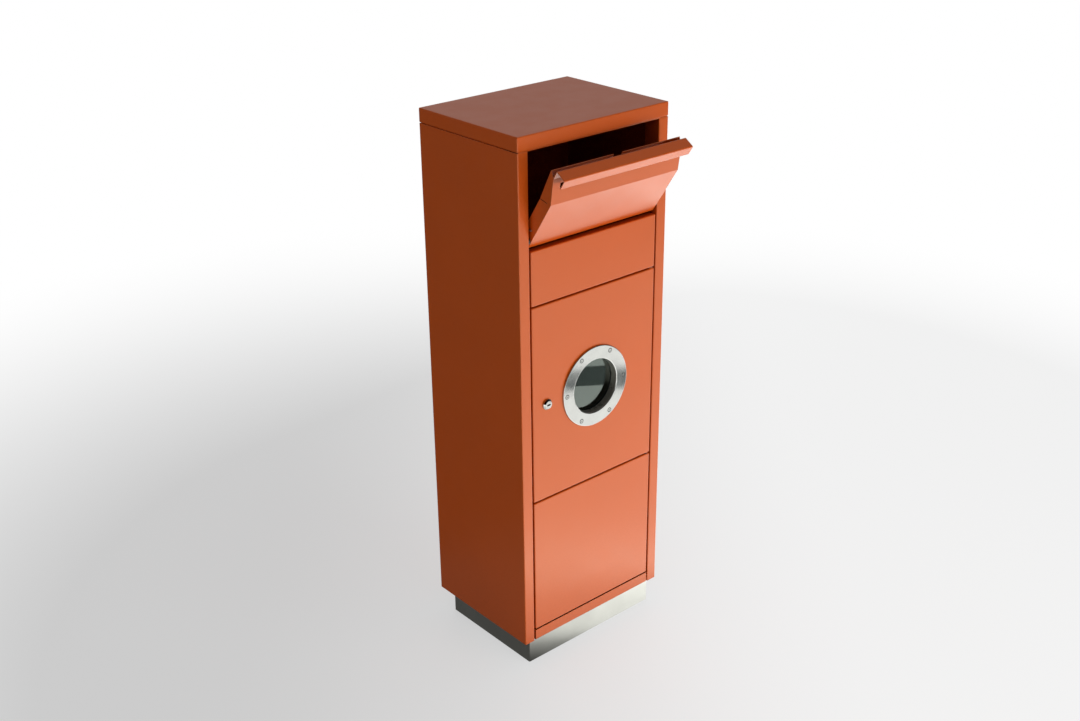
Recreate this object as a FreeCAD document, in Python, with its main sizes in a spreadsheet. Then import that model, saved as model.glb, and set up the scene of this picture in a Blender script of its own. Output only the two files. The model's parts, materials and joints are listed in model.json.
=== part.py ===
import FreeCAD, Part
import os
import re

import Sketcher

# Parcel mailbox of folded steel sheet on a recessed plinth.
# X runs to the right along the front, Y to the back and Z up.
# The origin lies on the floor under the middle of the cabinet.

SIZES = (
    ("width", 410, "cabinet across its front"),
    ("depth", 313, "cabinet from front to back"),
    ("sheet", 1.5, "steel sheet of cabinet, panels, door and flap"),
    ("bend_inside", 0.8, "inside radius of a fold"),
    ("fit", 0.3, "room between neighbouring pieces"),
    ("running", 0.05, "radial clearance of a pin that turns"),
    ("hole_room", 0.2, "radial clearance of a screw in its hole"),
    ("plinth_height", 60, "floor to underside of cabinet"),
    ("plinth_sheet", 2, "stainless sheet of the plinth"),
    ("plinth_inset_front", 9, "plinth behind the cabinet front"),
    ("plinth_inset_side", 18, "plinth inside the cabinet sides"),
    ("plinth_inset_back", 28, "plinth in front of the cabinet back"),
    ("plinth_flange", 34, "width of the plinth's flanges"),
    ("anchor_hole", 11, "diameter of the floor anchor holes"),
    ("anchor_inset", 19, "anchor holes inside the plinth's sides"),
    ("anchor_end", 61.5, "anchor holes from the cabinet's front and back"),
    ("plinth_bolt", 8, "diameter of the bolts between plinth and base tray"),
    ("plinth_bolt_head", 13, "diameter of their heads"),
    ("plinth_bolt_head_height", 5, "height of their heads"),
    ("plinth_bolt_inset", 19, "these bolts inside the plinth's sides"),
    ("plinth_bolt_end", 81.5, "these bolts from the cabinet's front and back"),
    ("plinth_nut", 13, "across flats of their nuts"),
    ("plinth_nut_height", 6.5, "height of their nuts"),
    ("strip_height", 26, "front flange of the base tray"),
    ("strip_gap", 2.5, "joint between that flange and the lower panel"),
    ("lower_height", 323.5, "lower panel"),
    ("door_gap", 3.5, "joint above and below the door"),
    ("door_height", 450.5, "door"),
    ("infill_height", 118, "infill panel between door and flap"),
    ("flap_gap", 4, "joint between infill panel and closed flap"),
    ("flap_height", 199.5, "closed flap"),
    ("head_gap", 4, "joint between closed flap and cap"),
    ("cap_skirt", 30, "height of the cap"),
    ("cap_lip", 24, "return lip inside the cap's skirt"),
    ("roof_gauge", 2, "roof plate, seen as the shadow line under the cap"),
    ("roof_inset", 3, "roof plate inside the cabinet's sides and back"),
    ("roof_inset_front", 0.6, "roof plate behind the cabinet's front"),
    ("cap_screw", 5, "diameter of the cap's screws"),
    ("cap_screw_head", 9.5, "diameter of their heads"),
    ("cap_screw_head_height", 3, "height of their heads"),
    ("cap_screw_span_y", 160, "these screws apart from front to back"),
    ("cap_screw_end", 5, "how far they stand through the lip"),
    ("jamb_width", 26.5, "front jamb on each side of the opening"),
    ("jamb_return", 40, "jamb's inner return"),
    ("top_flange", 20, "inward flange at the top of the shell"),
    ("side_gap", 4, "joint between jambs and panels"),
    ("panel_flange", 18, "depth of panels and door"),
    ("panel_screw", 4, "diameter of the panel screws"),
    ("panel_screw_head", 8, "diameter of their heads"),
    ("panel_screw_head_height", 2.5, "height of their heads"),
    ("panel_screw_end", 6, "how far they stand through the jamb return"),
    ("panel_screw_inset", 11, "these screws behind the front"),
    ("panel_screw_margin", 32, "these screws from a panel's ends"),
    ("panel_spacer", 9, "diameter of the spacers between panel and jamb"),
    ("panel_nut", 7, "across flats of the panel nuts"),
    ("panel_nut_height", 3.2, "height of the panel nuts"),
    ("shelf_flange", 25, "downward flange of the parcel shelf"),
    ("door_swing_side", 6.5, "door's pivot axis from its right edge"),
    ("door_swing_inset", 6, "door's pivot axis behind its front"),
    ("door_pin", 6, "diameter of the door's pivot pins"),
    ("door_pin_collar", 10, "diameter of their collars"),
    ("door_pin_head", 9, "diameter of their riveted heads"),
    ("door_pin_head_height", 2, "height of their riveted heads"),
    ("bush_wall", 1.2, "wall and flange of the pivot bushes"),
    ("bush_length", 7, "pivot bushes, under their flange"),
    ("bush_flange", 10.6, "diameter of the bushes' flange"),
    ("door_stop_margin", 75, "door stops from the door's ends"),
    ("door_stop_height", 40, "door stop brackets"),
    ("door_stop_reach", 15, "door stop leg behind the door's edge"),
    ("door_stop_leg", 14, "door stop leg along the jamb return"),
    ("door_stop_room", 4, "door stop bracket behind the door"),
    ("buffer", 8, "diameter of the door buffers"),
    ("buffer_neck", 4, "diameter of a buffer's neck"),
    ("buffer_head", 6, "diameter of the barb that holds a buffer"),
    ("buffer_head_height", 2, "height of that barb"),
    ("porthole_outer", 185, "diameter of the porthole ring"),
    ("porthole_clear", 123, "clear diameter of the porthole"),
    ("porthole_proud", 4.5, "ring in front of the door"),
    ("porthole_edge", 1.6, "rounded outer edge of the ring"),
    ("porthole_lip", 3, "rounded inner edge of the ring"),
    ("porthole_wall", 2.5, "wall of the ring's spigot"),
    ("porthole_spigot", 12, "spigot behind the door's front"),
    ("porthole_screw_circle", 165, "diameter of the circle of screws"),
    ("porthole_screw_count", 6, "screws of the porthole"),
    ("porthole_screw", 4, "their diameter"),
    ("porthole_screw_head", 8.5, "diameter of their heads"),
    ("porthole_screw_head_height", 2.4, "height of their heads"),
    ("porthole_socket", 2.5, "across flats of the sockets in their heads"),
    ("porthole_socket_depth", 1.3, "depth of these sockets"),
    ("counterbore", 2.2, "how deep their heads sit in the ring"),
    ("counterbore_room", 0.5, "ring round their heads"),
    ("back_ring_gauge", 2.2, "wall of the back ring"),
    ("gasket_leg", 1.5, "legs of the gasket beside the glass"),
    ("gasket_web", 2, "web of the gasket round the glass"),
    ("glass_gauge", 5, "glass"),
    ("glass_lap", 8, "glass held behind the ring"),
    ("lock_inset", 38.5, "lock axis from the door's left edge"),
    ("lock_head", 24, "diameter of the lock's head"),
    ("lock_face", 17, "diameter of the head's flat face"),
    ("lock_proud", 6.5, "lock in front of the door"),
    ("lock_bevel", 3.5, "depth of the head's bevel"),
    ("lock_barrel_size", 19, "diameter of the lock's barrel"),
    ("lock_nut_size", 25, "across flats of the lock nut"),
    ("lock_nut_height", 4, "height of the lock nut"),
    ("lock_plug_size", 13, "diameter of the lock's plug"),
    ("keyway_length", 9, "keyway across the plug"),
    ("keyway_width", 2.6, "width of the keyway"),
    ("keyway_depth", 5, "depth of the keyway"),
    ("cam_square", 7, "square tail that drives the cam"),
    ("cam_length", 55, "cam from the lock's axis to its tip"),
    ("cam_width", 16, "width of the cam"),
    ("cam_gauge", 3, "thickness of the cam"),
    ("cam_room", 0.6, "cam behind the door's flange and in its slot"),
    ("cam_screw_size", 4, "diameter of the cam's screw"),
    ("cam_screw_head", 9, "diameter of its head"),
    ("cam_screw_head_height", 2.5, "height of its head"),
    ("cam_screw_depth", 8, "screw inside the plug's tail"),
    ("flap_open", 33.5, "flap's angle at rest, from closed"),
    ("flap_swing_inset", 8, "flap's pivot axis behind the closed front"),
    ("flap_swing_rise", 18, "flap's pivot axis above its lower edge"),
    ("upper_rise", 49.7, "height of the flap's inclined upper band"),
    ("upper_lean", 23.2, "how far that band leans in"),
    ("riser_height", 20.3, "riser from that band to the handle's top"),
    ("grip_slot", 10.5, "height of the slot in that band, behind the lip"),
    ("grip_slot_drop", 10, "slot under the band's top"),
    ("grip_slot_inset", 19.5, "slot's ends from the band's ends"),
    ("lip_height", 22, "handle's front lip"),
    ("lip_proud", 2, "lip in front of the flap's lower band"),
    ("roll", 7, "radius of the flap's rolled lower edge"),
    ("cheek_depth", 30, "side flanges of the flap"),
    ("liner_top", 10.3, "side flanges and liner above the upper band"),
    ("liner_lean", 7.5, "how far the liner leans back at its top"),
    ("liner_notch", 8, "depth of the liner's notch for the catch"),
    ("liner_notch_room", 2.5, "that notch beside the catch"),
    ("seam_width", 1.8, "slit in the side flange at the kink"),
    ("seam_start", 10, "slit's end behind the flap's front"),
    ("seam_start_drop", 4, "slit's front end under the kink"),
    ("seam_end_drop", 11, "slit's rear end under the kink"),
    ("liner_tab", 22, "liner's side tabs"),
    ("liner_tab_height", 30, "height of these tabs"),
    ("rivet", 3.2, "diameter of the flap rivets"),
    ("rivet_head", 6.4, "diameter of their heads"),
    ("rivet_head_height", 1.6, "height of their heads"),
    ("rivet_inset", 14.7, "rivets behind the flap's front"),
    ("rivet_rise", 25, "rivets above the flap's pivot axis"),
    ("flap_pin", 8, "diameter of the flap's shoulder screws"),
    ("flap_pin_head", 11, "diameter of their heads"),
    ("flap_pin_head_height", 3, "height of their heads"),
    ("flap_pin_thread", 6, "diameter of their threaded ends"),
    ("flap_pin_end", 7, "threaded end behind the jamb return"),
    ("flap_washer", 14, "diameter of the flap's washers"),
    ("flap_nut", 10, "across flats of the flap's nuts"),
    ("flap_nut_height", 5, "height of the flap's nuts"),
    ("flap_stop", 7, "diameter of the flap's rubber stops"),
    ("flap_stop_length", 12, "flap's stops inside the jamb return"),
    ("flap_stop_drop", 10, "where the stop meets the side flange, under the pivot"),
    ("catch_width", 19, "magnetic catch across the front"),
    ("catch_depth", 16, "magnetic catch from front to back"),
    ("catch_height", 9, "magnetic catch under the roof plate"),
    ("catch_room", 0.5, "catch behind the closed flap's riser"),
    ("pole_gauge", 2.4, "pole pieces of the catch"),
    ("pole_span", 12, "pole pieces apart"),
    ("pole_proud", 1.2, "pole pieces in front of the catch"),
    ("pole_height", 6, "height of the pole pieces"),
    ("catch_screw", 3, "diameter of the catch's screws"),
    ("catch_screw_head", 4.8, "diameter of their heads"),
    ("catch_screw_head_height", 1.8, "height of their heads"),
)

doc = FreeCAD.newDocument("ParcelMailbox")
table = doc.addObject("Spreadsheet::Sheet", "Sizes")
for row, (alias, size, note) in enumerate(SIZES, start=1):
    table.set(f"A{row}", note)
    table.set(f"B{row}", str(size))
    table.setAlias(f"B{row}", alias)
doc.recompute()

ALIASES = {alias for alias, size, note in SIZES}
NEAR = 1e-4
parts = []

# Places that several pieces share
SIDE = "(width / 2)"
FRONT = "(-depth / 2)"
BACK = "(depth / 2)"
OPENING = f"({SIDE} - jamb_width)"
RETURN_BACK = f"({OPENING} + sheet)"
PANEL = f"({OPENING} - side_gap)"
WALL = f"({SIDE} - sheet - fit)"
FLANGE_BACK = f"({FRONT} + panel_flange)"
BASE = "plinth_height"
STRIP_TOP = f"({BASE} + strip_height)"
LOWER_BOTTOM = f"({STRIP_TOP} + strip_gap)"
LOWER_TOP = f"({LOWER_BOTTOM} + lower_height)"
DOOR_BOTTOM = f"({LOWER_TOP} + door_gap)"
DOOR_MIDDLE = f"({DOOR_BOTTOM} + door_height / 2)"
DOOR_TOP = f"({DOOR_BOTTOM} + door_height)"
INFILL_BOTTOM = f"({DOOR_TOP} + door_gap)"
INFILL_TOP = f"({INFILL_BOTTOM} + infill_height)"
FLAP_BOTTOM = f"({INFILL_TOP} + flap_gap)"
FLAP_TOP = f"({FLAP_BOTTOM} + flap_height)"
CAP_BOTTOM = f"({FLAP_TOP} + head_gap)"
CAP_TOP = f"({CAP_BOTTOM} + cap_skirt)"
SHELL_TOP = f"({CAP_BOTTOM} - roof_gauge)"
BEND = "(sheet + bend_inside)"

# The flap is drawn closed, about its own pivot axis
FLAP_FRONT = "(-flap_swing_inset)"
FLAP_LOW = "(-flap_swing_rise)"
FLAP_REAR = "(cheek_depth - flap_swing_inset)"
HANDLE_TOP = "(flap_height - flap_swing_rise)"
BAND_TOP = f"({HANDLE_TOP} - riser_height)"
KINK = f"({BAND_TOP} - upper_rise)"
MITRE = "(sheet * tan(atan(upper_lean / upper_rise) / 2))"
LINER_BEND = f"({KINK} - seam_end_drop)"
LINER_TOP = f"({BAND_TOP} + liner_top)"
LINER_REAR = f"({FLAP_REAR} + liner_lean)"
SWING_Y = f"({FRONT} + flap_swing_inset)"
SWING_Z = f"({FLAP_BOTTOM} + flap_swing_rise)"
STOP_ARM = f"({FLAP_REAR} + flap_stop / 2 + fit)"
STOP_Y = f"({SWING_Y} + {STOP_ARM} * cos(flap_open) + flap_stop_drop * sin(flap_open))"
STOP_Z = f"({SWING_Z} + {STOP_ARM} * sin(flap_open) - flap_stop_drop * cos(flap_open))"

# The lock is drawn about its own axis, from the door's front inwards
LOCK_X = f"(-{PANEL} + lock_inset)"
BARREL_END = "(panel_flange + cam_room / 2)"
CAM_START = "(panel_flange + cam_room)"
CAM_END = f"({CAM_START} + cam_gauge)"

DOOR_AXIS_X = f"({PANEL} - door_swing_side)"
DOOR_AXIS_Y = f"({FRONT} + door_swing_inset)"

CAP_SCREW_X = f"({SIDE} - top_flange / 2)"
CAP_SCREWS = [(f"{sx} * {CAP_SCREW_X}", f"{sy} * cap_screw_span_y / 2") for sx in (-1, 1) for sy in (-1, 1)]
PLINTH_SIDE = f"({SIDE} - plinth_inset_side)"
PLINTH_BOLTS = [
    (f"{sx} * ({PLINTH_SIDE} - plinth_bolt_inset)", f"{sy} * (depth / 2 - plinth_bolt_end)")
    for sx in (-1, 1)
    for sy in (-1, 1)
]
ANCHORS = [
    (f"{sx} * ({PLINTH_SIDE} - anchor_inset)", f"{sy} * (depth / 2 - anchor_end)") for sx in (-1, 1) for sy in (-1, 1)
]
PANEL_SCREW_Y = f"({FRONT} + panel_screw_inset)"
INFILL_SCREWS = [
    (PANEL_SCREW_Y, f"({INFILL_BOTTOM} + panel_screw_margin)"),
    (PANEL_SCREW_Y, f"({INFILL_TOP} - panel_screw_margin)"),
]
LOWER_SCREWS = [
    (PANEL_SCREW_Y, f"({LOWER_BOTTOM} + panel_screw_margin)"),
    (PANEL_SCREW_Y, f"({LOWER_TOP} - panel_screw_margin)"),
]
PANEL_SCREWS = INFILL_SCREWS + LOWER_SCREWS

X_AXIS = FreeCAD.Vector(1, 0, 0)
UPWARD = FreeCAD.Rotation()
DOWNWARD = FreeCAD.Rotation(X_AXIS, 180)
INWARD = FreeCAD.Rotation(X_AXIS, -90)
SIDEWAYS = {1: FreeCAD.Rotation(FreeCAD.Vector(0, 1, 0), 90), -1: FreeCAD.Rotation(FreeCAD.Vector(0, 1, 0), -90)}


def bind(text):
    """The expression with every size's name turned into its cell of the table."""
    return re.sub(r"[a-z_]+", lambda word: f"Sizes.{word[0]}" if word[0] in ALIASES else word[0], angles(text))


def angles(text):
    """The flap's angle is a plain number of degrees in the table."""
    return text.replace("flap_open", "(flap_open * 1 deg)")


def value(text):
    return float(table.evalExpression(bind(text)))


def new_body(label, place=("0", "0", "0"), turn=UPWARD):
    body = doc.addObject("PartDesign::Body", label)
    body.Label = label
    body.Placement = FreeCAD.Placement(FreeCAD.Vector(), turn)
    for axis, text in zip("xyz", place):
        body.setExpression(f"Placement.Base.{axis}", bind(text))
    parts.append(body)
    return body


def new_flap_body(label):
    """A body in the flap's own frame, turned open about the pivot axis."""
    body = new_body(label, ("0", SWING_Y, SWING_Z), FreeCAD.Rotation(X_AXIS, value("flap_open * 180 / pi")))
    body.setExpression("Placement.Rotation.Angle", bind("flap_open"))
    return body


def rectangle(x_low, y_low, x_high, y_high):
    return [(x_low, y_low), (x_high, y_low), (x_high, y_high), (x_low, y_high)]


def hexagon(x, y, across):
    half = f"{across} / 2"
    short = f"{across} / sqrt(3) / 2"
    steps = [(half, f"-{short}"), (half, short), ("0", f"2 * {short}")]
    steps += [(f"-{half}", short), (f"-{half}", f"-{short}"), ("0", f"-2 * {short}")]
    return [(f"{x} + {right}", f"{y} + {up}") for right, up in steps]


def mirrored(points):
    return [(f"-({x})", y) for x, y in reversed(points)]


def hold(item, line, vertex, place):
    for kind, text in zip(("DistanceX", "DistanceY"), place):
        number = item.addConstraint(Sketcher.Constraint(kind, -1, 1, line, vertex, value(text)))
        item.setExpression(f"Constraints[{number}]", bind(text))


def draw_outline(item, points):
    corners = [FreeCAD.Vector(value(x), value(y), 0) for x, y in points]
    first = item.GeometryCount
    following = [first + (index + 1) % len(points) for index in range(len(points))]
    for index, corner in enumerate(corners):
        item.addGeometry(Part.LineSegment(corner, corners[(index + 1) % len(corners)]))
    for index, point in enumerate(points):
        item.addConstraint(Sketcher.Constraint("Coincident", first + index, 2, following[index], 1))
        hold(item, first + index, 1, point)


def draw_circle(item, x, y, radius):
    centre = FreeCAD.Vector(value(x), value(y), 0)
    curve = item.addGeometry(Part.Circle(centre, FreeCAD.Vector(0, 0, 1), value(radius)))
    number = item.addConstraint(Sketcher.Constraint("Radius", curve, value(radius)))
    item.setExpression(f"Constraints[{number}]", bind(radius))
    hold(item, curve, 3, (x, y))


def sketch(body, plane, level, shapes):
    """A sketch at a level along the plane's axis; a shape is a list of corners or a circle (x, y, radius)."""
    item = body.newObject("Sketcher::SketchObject", "sketch")
    item.AttachmentSupport = (next(each for each in body.Origin.OriginFeatures if each.Role == plane), "")
    item.MapMode = "FlatFace"
    item.setExpression("AttachmentOffset.Base.z", bind(f"-({level})" if plane == "XZ_Plane" else level))
    for shape in shapes:
        if isinstance(shape, list):
            draw_outline(item, shape)
        else:
            draw_circle(item, *shape)
    return item


def extrude(body, plane, low, high, shapes):
    """Add the shapes from one level to a higher one along the plane's axis."""
    feature = body.newObject("PartDesign::Pad", "pad")
    feature.Profile = sketch(body, plane, low, shapes)
    feature.Reversed = plane == "XZ_Plane"
    feature.setExpression("Length", bind(f"{high} - ({low})"))
    doc.recompute()
    return feature


def carve(body, plane, low, high, shapes):
    """Cut the shapes away from one level to a higher one along the plane's axis."""
    before = body.Tip.Shape.Volume
    feature = body.newObject("PartDesign::Pocket", "pocket")
    feature.Profile = sketch(body, plane, low, shapes)
    feature.Reversed = plane != "XZ_Plane"
    feature.setExpression("Length", bind(f"{high} - ({low})"))
    doc.recompute()
    if body.Tip.Shape.Volume > before - NEAR:
        raise RuntimeError(f"a cut in {body.Label} removes nothing")
    return feature


def punch(body, plane, low, high, shapes):
    """Cut right through a wall that lies between two levels."""
    return carve(body, plane, f"{low} - fit", f"{high} + fit", shapes)


def revolve(body, profile):
    """Turn a profile of (radius, height) corners about the body's own Z axis."""
    feature = body.newObject("PartDesign::Revolution", "revolution")
    feature.Profile = sketch(body, "XZ_Plane", "0", [profile])
    feature.ReferenceAxis = (feature.Profile[0], ["V_Axis"])
    feature.Angle = 360
    doc.recompute()
    return feature


def edges_along(body, axis, places):
    """Names of the edges along an axis that pass through places given by the other two coordinates."""
    others = [name for name in "xyz" if name != axis]
    wanted = [[value(text) for text in place] for place in places]
    names = []
    for number, edge in enumerate(body.Tip.Shape.Edges, start=1):
        ends = [[getattr(vertex.Point, name) for name in others] for vertex in edge.Vertexes]
        for target in wanted:
            offsets = [abs(a - b) for end in ends for a, b in zip(end, target)]
            if len(ends) == 2 and max(offsets) < NEAR:
                names.append(f"Edge{number}")
    return names


def round_edges(body, names, radius):
    base = body.Tip
    feature = body.newObject("PartDesign::Fillet", "fillet")
    feature.Base = (base, names)
    feature.setExpression("Radius", bind(radius))
    body.Tip = feature
    doc.recompute()
    return feature


def cabinet_shell():
    body = new_body("cabinet_shell")
    tip = f"{FRONT} + jamb_return"
    outer = [(OPENING, tip), (OPENING, FRONT), (SIDE, FRONT), (SIDE, BACK)]
    inner = [(RETURN_BACK, tip), (RETURN_BACK, f"{FRONT} + sheet"), (f"{SIDE} - sheet", f"{FRONT} + sheet")]
    inner.append((f"{SIDE} - sheet", f"{BACK} - sheet"))
    left_inner = [(f"-({x})", y) for x, y in inner]
    section = outer + mirrored(outer) + left_inner + inner[::-1]
    extrude(body, "XY_Plane", BASE, SHELL_TOP, [section])
    flange_front = f"{tip} + {BEND}"
    flange = [(f"{SIDE} - top_flange", flange_front), (SIDE, flange_front), (SIDE, BACK)]
    flange = flange + mirrored(flange)
    flange += [(f"-({SIDE} - top_flange)", f"{BACK} - top_flange"), (f"{SIDE} - top_flange", f"{BACK} - top_flange")]
    extrude(body, "XY_Plane", f"{SHELL_TOP} - sheet", SHELL_TOP, [flange])
    outer_folds = outer[1:] + mirrored(outer[1:])
    inner_folds = inner[1:] + mirrored(inner[1:])
    round_edges(body, edges_along(body, "z", outer_folds), BEND)
    round_edges(body, edges_along(body, "z", inner_folds), "bend_inside")
    screws = [(x, y, "cap_screw / 2 + hole_room") for x, y in CAP_SCREWS]
    punch(body, "XY_Plane", f"{SHELL_TOP} - sheet", SHELL_TOP, screws)
    holes = [(y, z, "panel_screw / 2 + hole_room") for y, z in PANEL_SCREWS]
    holes.append((SWING_Y, SWING_Z, "flap_pin_thread / 2 + hole_room"))
    holes.append((STOP_Y, STOP_Z, "buffer_neck / 2 + running"))
    punch(body, "YZ_Plane", OPENING, RETURN_BACK, holes)
    punch(body, "YZ_Plane", f"-{RETURN_BACK}", f"-{OPENING}", holes)
    slot_low = f"{DOOR_MIDDLE} - cam_length - cam_room"
    slot_high = f"{DOOR_MIDDLE} + cam_width / 2 + cam_room"
    slot = rectangle(f"{FLANGE_BACK} + cam_room / 2", slot_low, f"{FRONT} + {CAM_END} + cam_room", slot_high)
    punch(body, "YZ_Plane", f"-{RETURN_BACK}", f"-{OPENING}", [slot])


def top_cap():
    body = new_body("top_cap")
    block = rectangle(f"-{SIDE}", FRONT, SIDE, BACK)
    extrude(body, "XY_Plane", CAP_BOTTOM, CAP_TOP, [block])
    folds = edges_along(body, "z", block)
    folds += edges_along(body, "x", [(FRONT, CAP_TOP), (BACK, CAP_TOP)])
    folds += edges_along(body, "y", [(f"-{SIDE}", CAP_TOP), (SIDE, CAP_TOP)])
    round_edges(body, folds, BEND)
    side, front, back, under = f"{SIDE} - sheet", f"{FRONT} + sheet", f"{BACK} - sheet", f"{CAP_TOP} - sheet"
    room = rectangle(f"-({side})", front, side, back)
    carve(body, "XY_Plane", f"{CAP_BOTTOM} - fit", under, [room])
    folds = edges_along(body, "z", room)
    folds += edges_along(body, "x", [(front, under), (back, under)])
    folds += edges_along(body, "y", [(f"-({side})", under), (side, under)])
    round_edges(body, folds, "bend_inside")
    half = f"{SIDE} - sheet / 2"
    rim = rectangle(f"-({half})", f"{FRONT} + sheet / 2", half, f"{BACK} - sheet / 2")
    inside = f"{SIDE} - cap_lip"
    clear = rectangle(f"-({inside})", f"{FRONT} + cap_lip", inside, f"{BACK} - cap_lip")
    extrude(body, "XY_Plane", CAP_BOTTOM, f"{CAP_BOTTOM} + sheet", [rim, clear])
    hem = edges_along(body, "x", [(FRONT, CAP_BOTTOM), (BACK, CAP_BOTTOM)])
    hem += edges_along(body, "y", [(f"-{SIDE}", CAP_BOTTOM), (SIDE, CAP_BOTTOM)])
    round_edges(body, hem, "sheet")
    screws = [(x, y, "cap_screw / 2 + hole_room") for x, y in CAP_SCREWS]
    punch(body, "XY_Plane", CAP_BOTTOM, f"{CAP_BOTTOM} + sheet", screws)


def roof_plate():
    body = new_body("roof_plate")
    half = f"{SIDE} - roof_inset"
    plate = rectangle(f"-({half})", f"{FRONT} + roof_inset_front", half, f"{BACK} - roof_inset")
    holes = [(x, y, "cap_screw / 2 + hole_room") for x, y in CAP_SCREWS]
    holes += [(x, y, "catch_screw / 2 + running") for x, y in CATCH_SCREWS]
    extrude(body, "XY_Plane", SHELL_TOP, CAP_BOTTOM, [plate] + holes)


def cap_screws():
    body = new_body("cap_screws")
    underside = f"{SHELL_TOP} - sheet"
    heads = [(x, y, "cap_screw_head / 2") for x, y in CAP_SCREWS]
    shanks = [(x, y, "cap_screw / 2") for x, y in CAP_SCREWS]
    extrude(body, "XY_Plane", f"{underside} - cap_screw_head_height", underside, heads)
    extrude(body, "XY_Plane", underside, f"{CAP_BOTTOM} + sheet + cap_screw_end", shanks)


def tray(label, front, low, high, opens_up):
    """A folded tray inside the shell, notched round the jamb returns."""
    body = new_body(label)
    notch = f"{FRONT} + jamb_return + fit"
    rear = f"{BACK} - sheet - fit"
    edge = [(PANEL, front), (PANEL, notch), (WALL, notch), (WALL, rear)]
    extrude(body, "XY_Plane", low, high, [edge + mirrored(edge)])
    rim = [(f"{PANEL} - sheet", f"{front} + sheet"), (f"{PANEL} - sheet", f"{notch} + sheet")]
    rim += [(f"{WALL} - sheet", f"{notch} + sheet"), (f"{WALL} - sheet", f"{rear} - sheet")]
    floor = (f"{low} + sheet", f"{high} + fit") if opens_up else (f"{low} - fit", f"{high} - sheet")
    carve(body, "XY_Plane", *floor, [rim + mirrored(rim)])
    return body


def base_tray():
    body = tray("base_tray", FRONT, BASE, STRIP_TOP, True)
    round_edges(body, edges_along(body, "x", [(FRONT, BASE)]), BEND)
    holes = [(x, y, "plinth_bolt / 2 + hole_room") for x, y in PLINTH_BOLTS]
    punch(body, "XY_Plane", BASE, f"{BASE} + sheet", holes)


def parcel_shelf():
    body = tray("parcel_shelf", f"{FLANGE_BACK} + fit", f"{LOWER_TOP} - shelf_flange", LOWER_TOP, False)
    round_edges(body, edges_along(body, "x", [(f"{FLANGE_BACK} + fit", LOWER_TOP)]), BEND)


def plinth():
    body = new_body("plinth")
    front = f"({FRONT} + plinth_inset_front)"
    back = f"({BACK} - plinth_inset_back)"

    def inset(amount):
        side = f"({PLINTH_SIDE} - {amount})"
        return rectangle(f"-{side}", f"{front} + {amount}", side, f"{back} - {amount}")

    extrude(body, "XY_Plane", "0", BASE, [inset("0")])
    round_edges(body, edges_along(body, "z", inset("0")), "plinth_sheet + bend_inside")
    carve(body, "XY_Plane", "plinth_sheet", f"{BASE} - plinth_sheet", [inset("plinth_sheet")])
    punch(body, "XY_Plane", "0", BASE, [inset("plinth_flange")])
    anchors = [(x, y, "anchor_hole / 2") for x, y in ANCHORS]
    punch(body, "XY_Plane", "0", "plinth_sheet", anchors)
    bolts = [(x, y, "plinth_bolt / 2 + hole_room") for x, y in PLINTH_BOLTS]
    punch(body, "XY_Plane", f"{BASE} - plinth_sheet", BASE, bolts)


def plinth_bolts():
    body = new_body("plinth_bolts")
    underside = f"({BASE} - plinth_sheet)"
    heads = [(x, y, "plinth_bolt_head / 2") for x, y in PLINTH_BOLTS]
    shanks = [(x, y, "plinth_bolt / 2") for x, y in PLINTH_BOLTS]
    extrude(body, "XY_Plane", f"{underside} - plinth_bolt_head_height", underside, heads)
    extrude(body, "XY_Plane", underside, f"{BASE} + sheet + plinth_nut_height + fit", shanks)


def plinth_nuts():
    body = new_body("plinth_nuts")
    nuts = []
    for x, y in PLINTH_BOLTS:
        nuts += [hexagon(x, y, "plinth_nut"), (x, y, "plinth_bolt / 2 + running")]
    extrude(body, "XY_Plane", f"{BASE} + sheet", f"{BASE} + sheet + plinth_nut_height", nuts)


def pan(label, low, high):
    """A front pan: a skin with four folded flanges."""
    body = new_body(label)
    skin = rectangle(f"-{PANEL}", low, PANEL, high)
    extrude(body, "XZ_Plane", FRONT, FLANGE_BACK, [skin])
    folds = edges_along(body, "y", skin)
    folds += edges_along(body, "x", [(FRONT, low), (FRONT, high)])
    folds += edges_along(body, "z", [(f"-{PANEL}", FRONT), (PANEL, FRONT)])
    round_edges(body, folds, BEND)
    side, bottom, top, back = f"{PANEL} - sheet", f"{low} + sheet", f"{high} - sheet", f"{FRONT} + sheet"
    room = rectangle(f"-({side})", bottom, side, top)
    carve(body, "XZ_Plane", back, f"{FLANGE_BACK} + fit", [room])
    folds = edges_along(body, "y", room)
    folds += edges_along(body, "x", [(back, bottom), (back, top)])
    folds += edges_along(body, "z", [(f"-({side})", back), (side, back)])
    round_edges(body, folds, "bend_inside")
    return body


def fixed_panel(label, low, high, screws, bush_flange_low):
    """A pan that is screwed to the jambs and holds one of the door's bushes."""
    body = pan(label, low, high)
    holes = [(y, z, "panel_screw / 2 + hole_room") for y, z in screws]
    punch(body, "YZ_Plane", f"-{PANEL}", PANEL, holes)
    bush = [(DOOR_AXIS_X, DOOR_AXIS_Y, "door_pin / 2 + bush_wall + running")]
    punch(body, "XY_Plane", bush_flange_low, f"{bush_flange_low} + sheet", bush)


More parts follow.
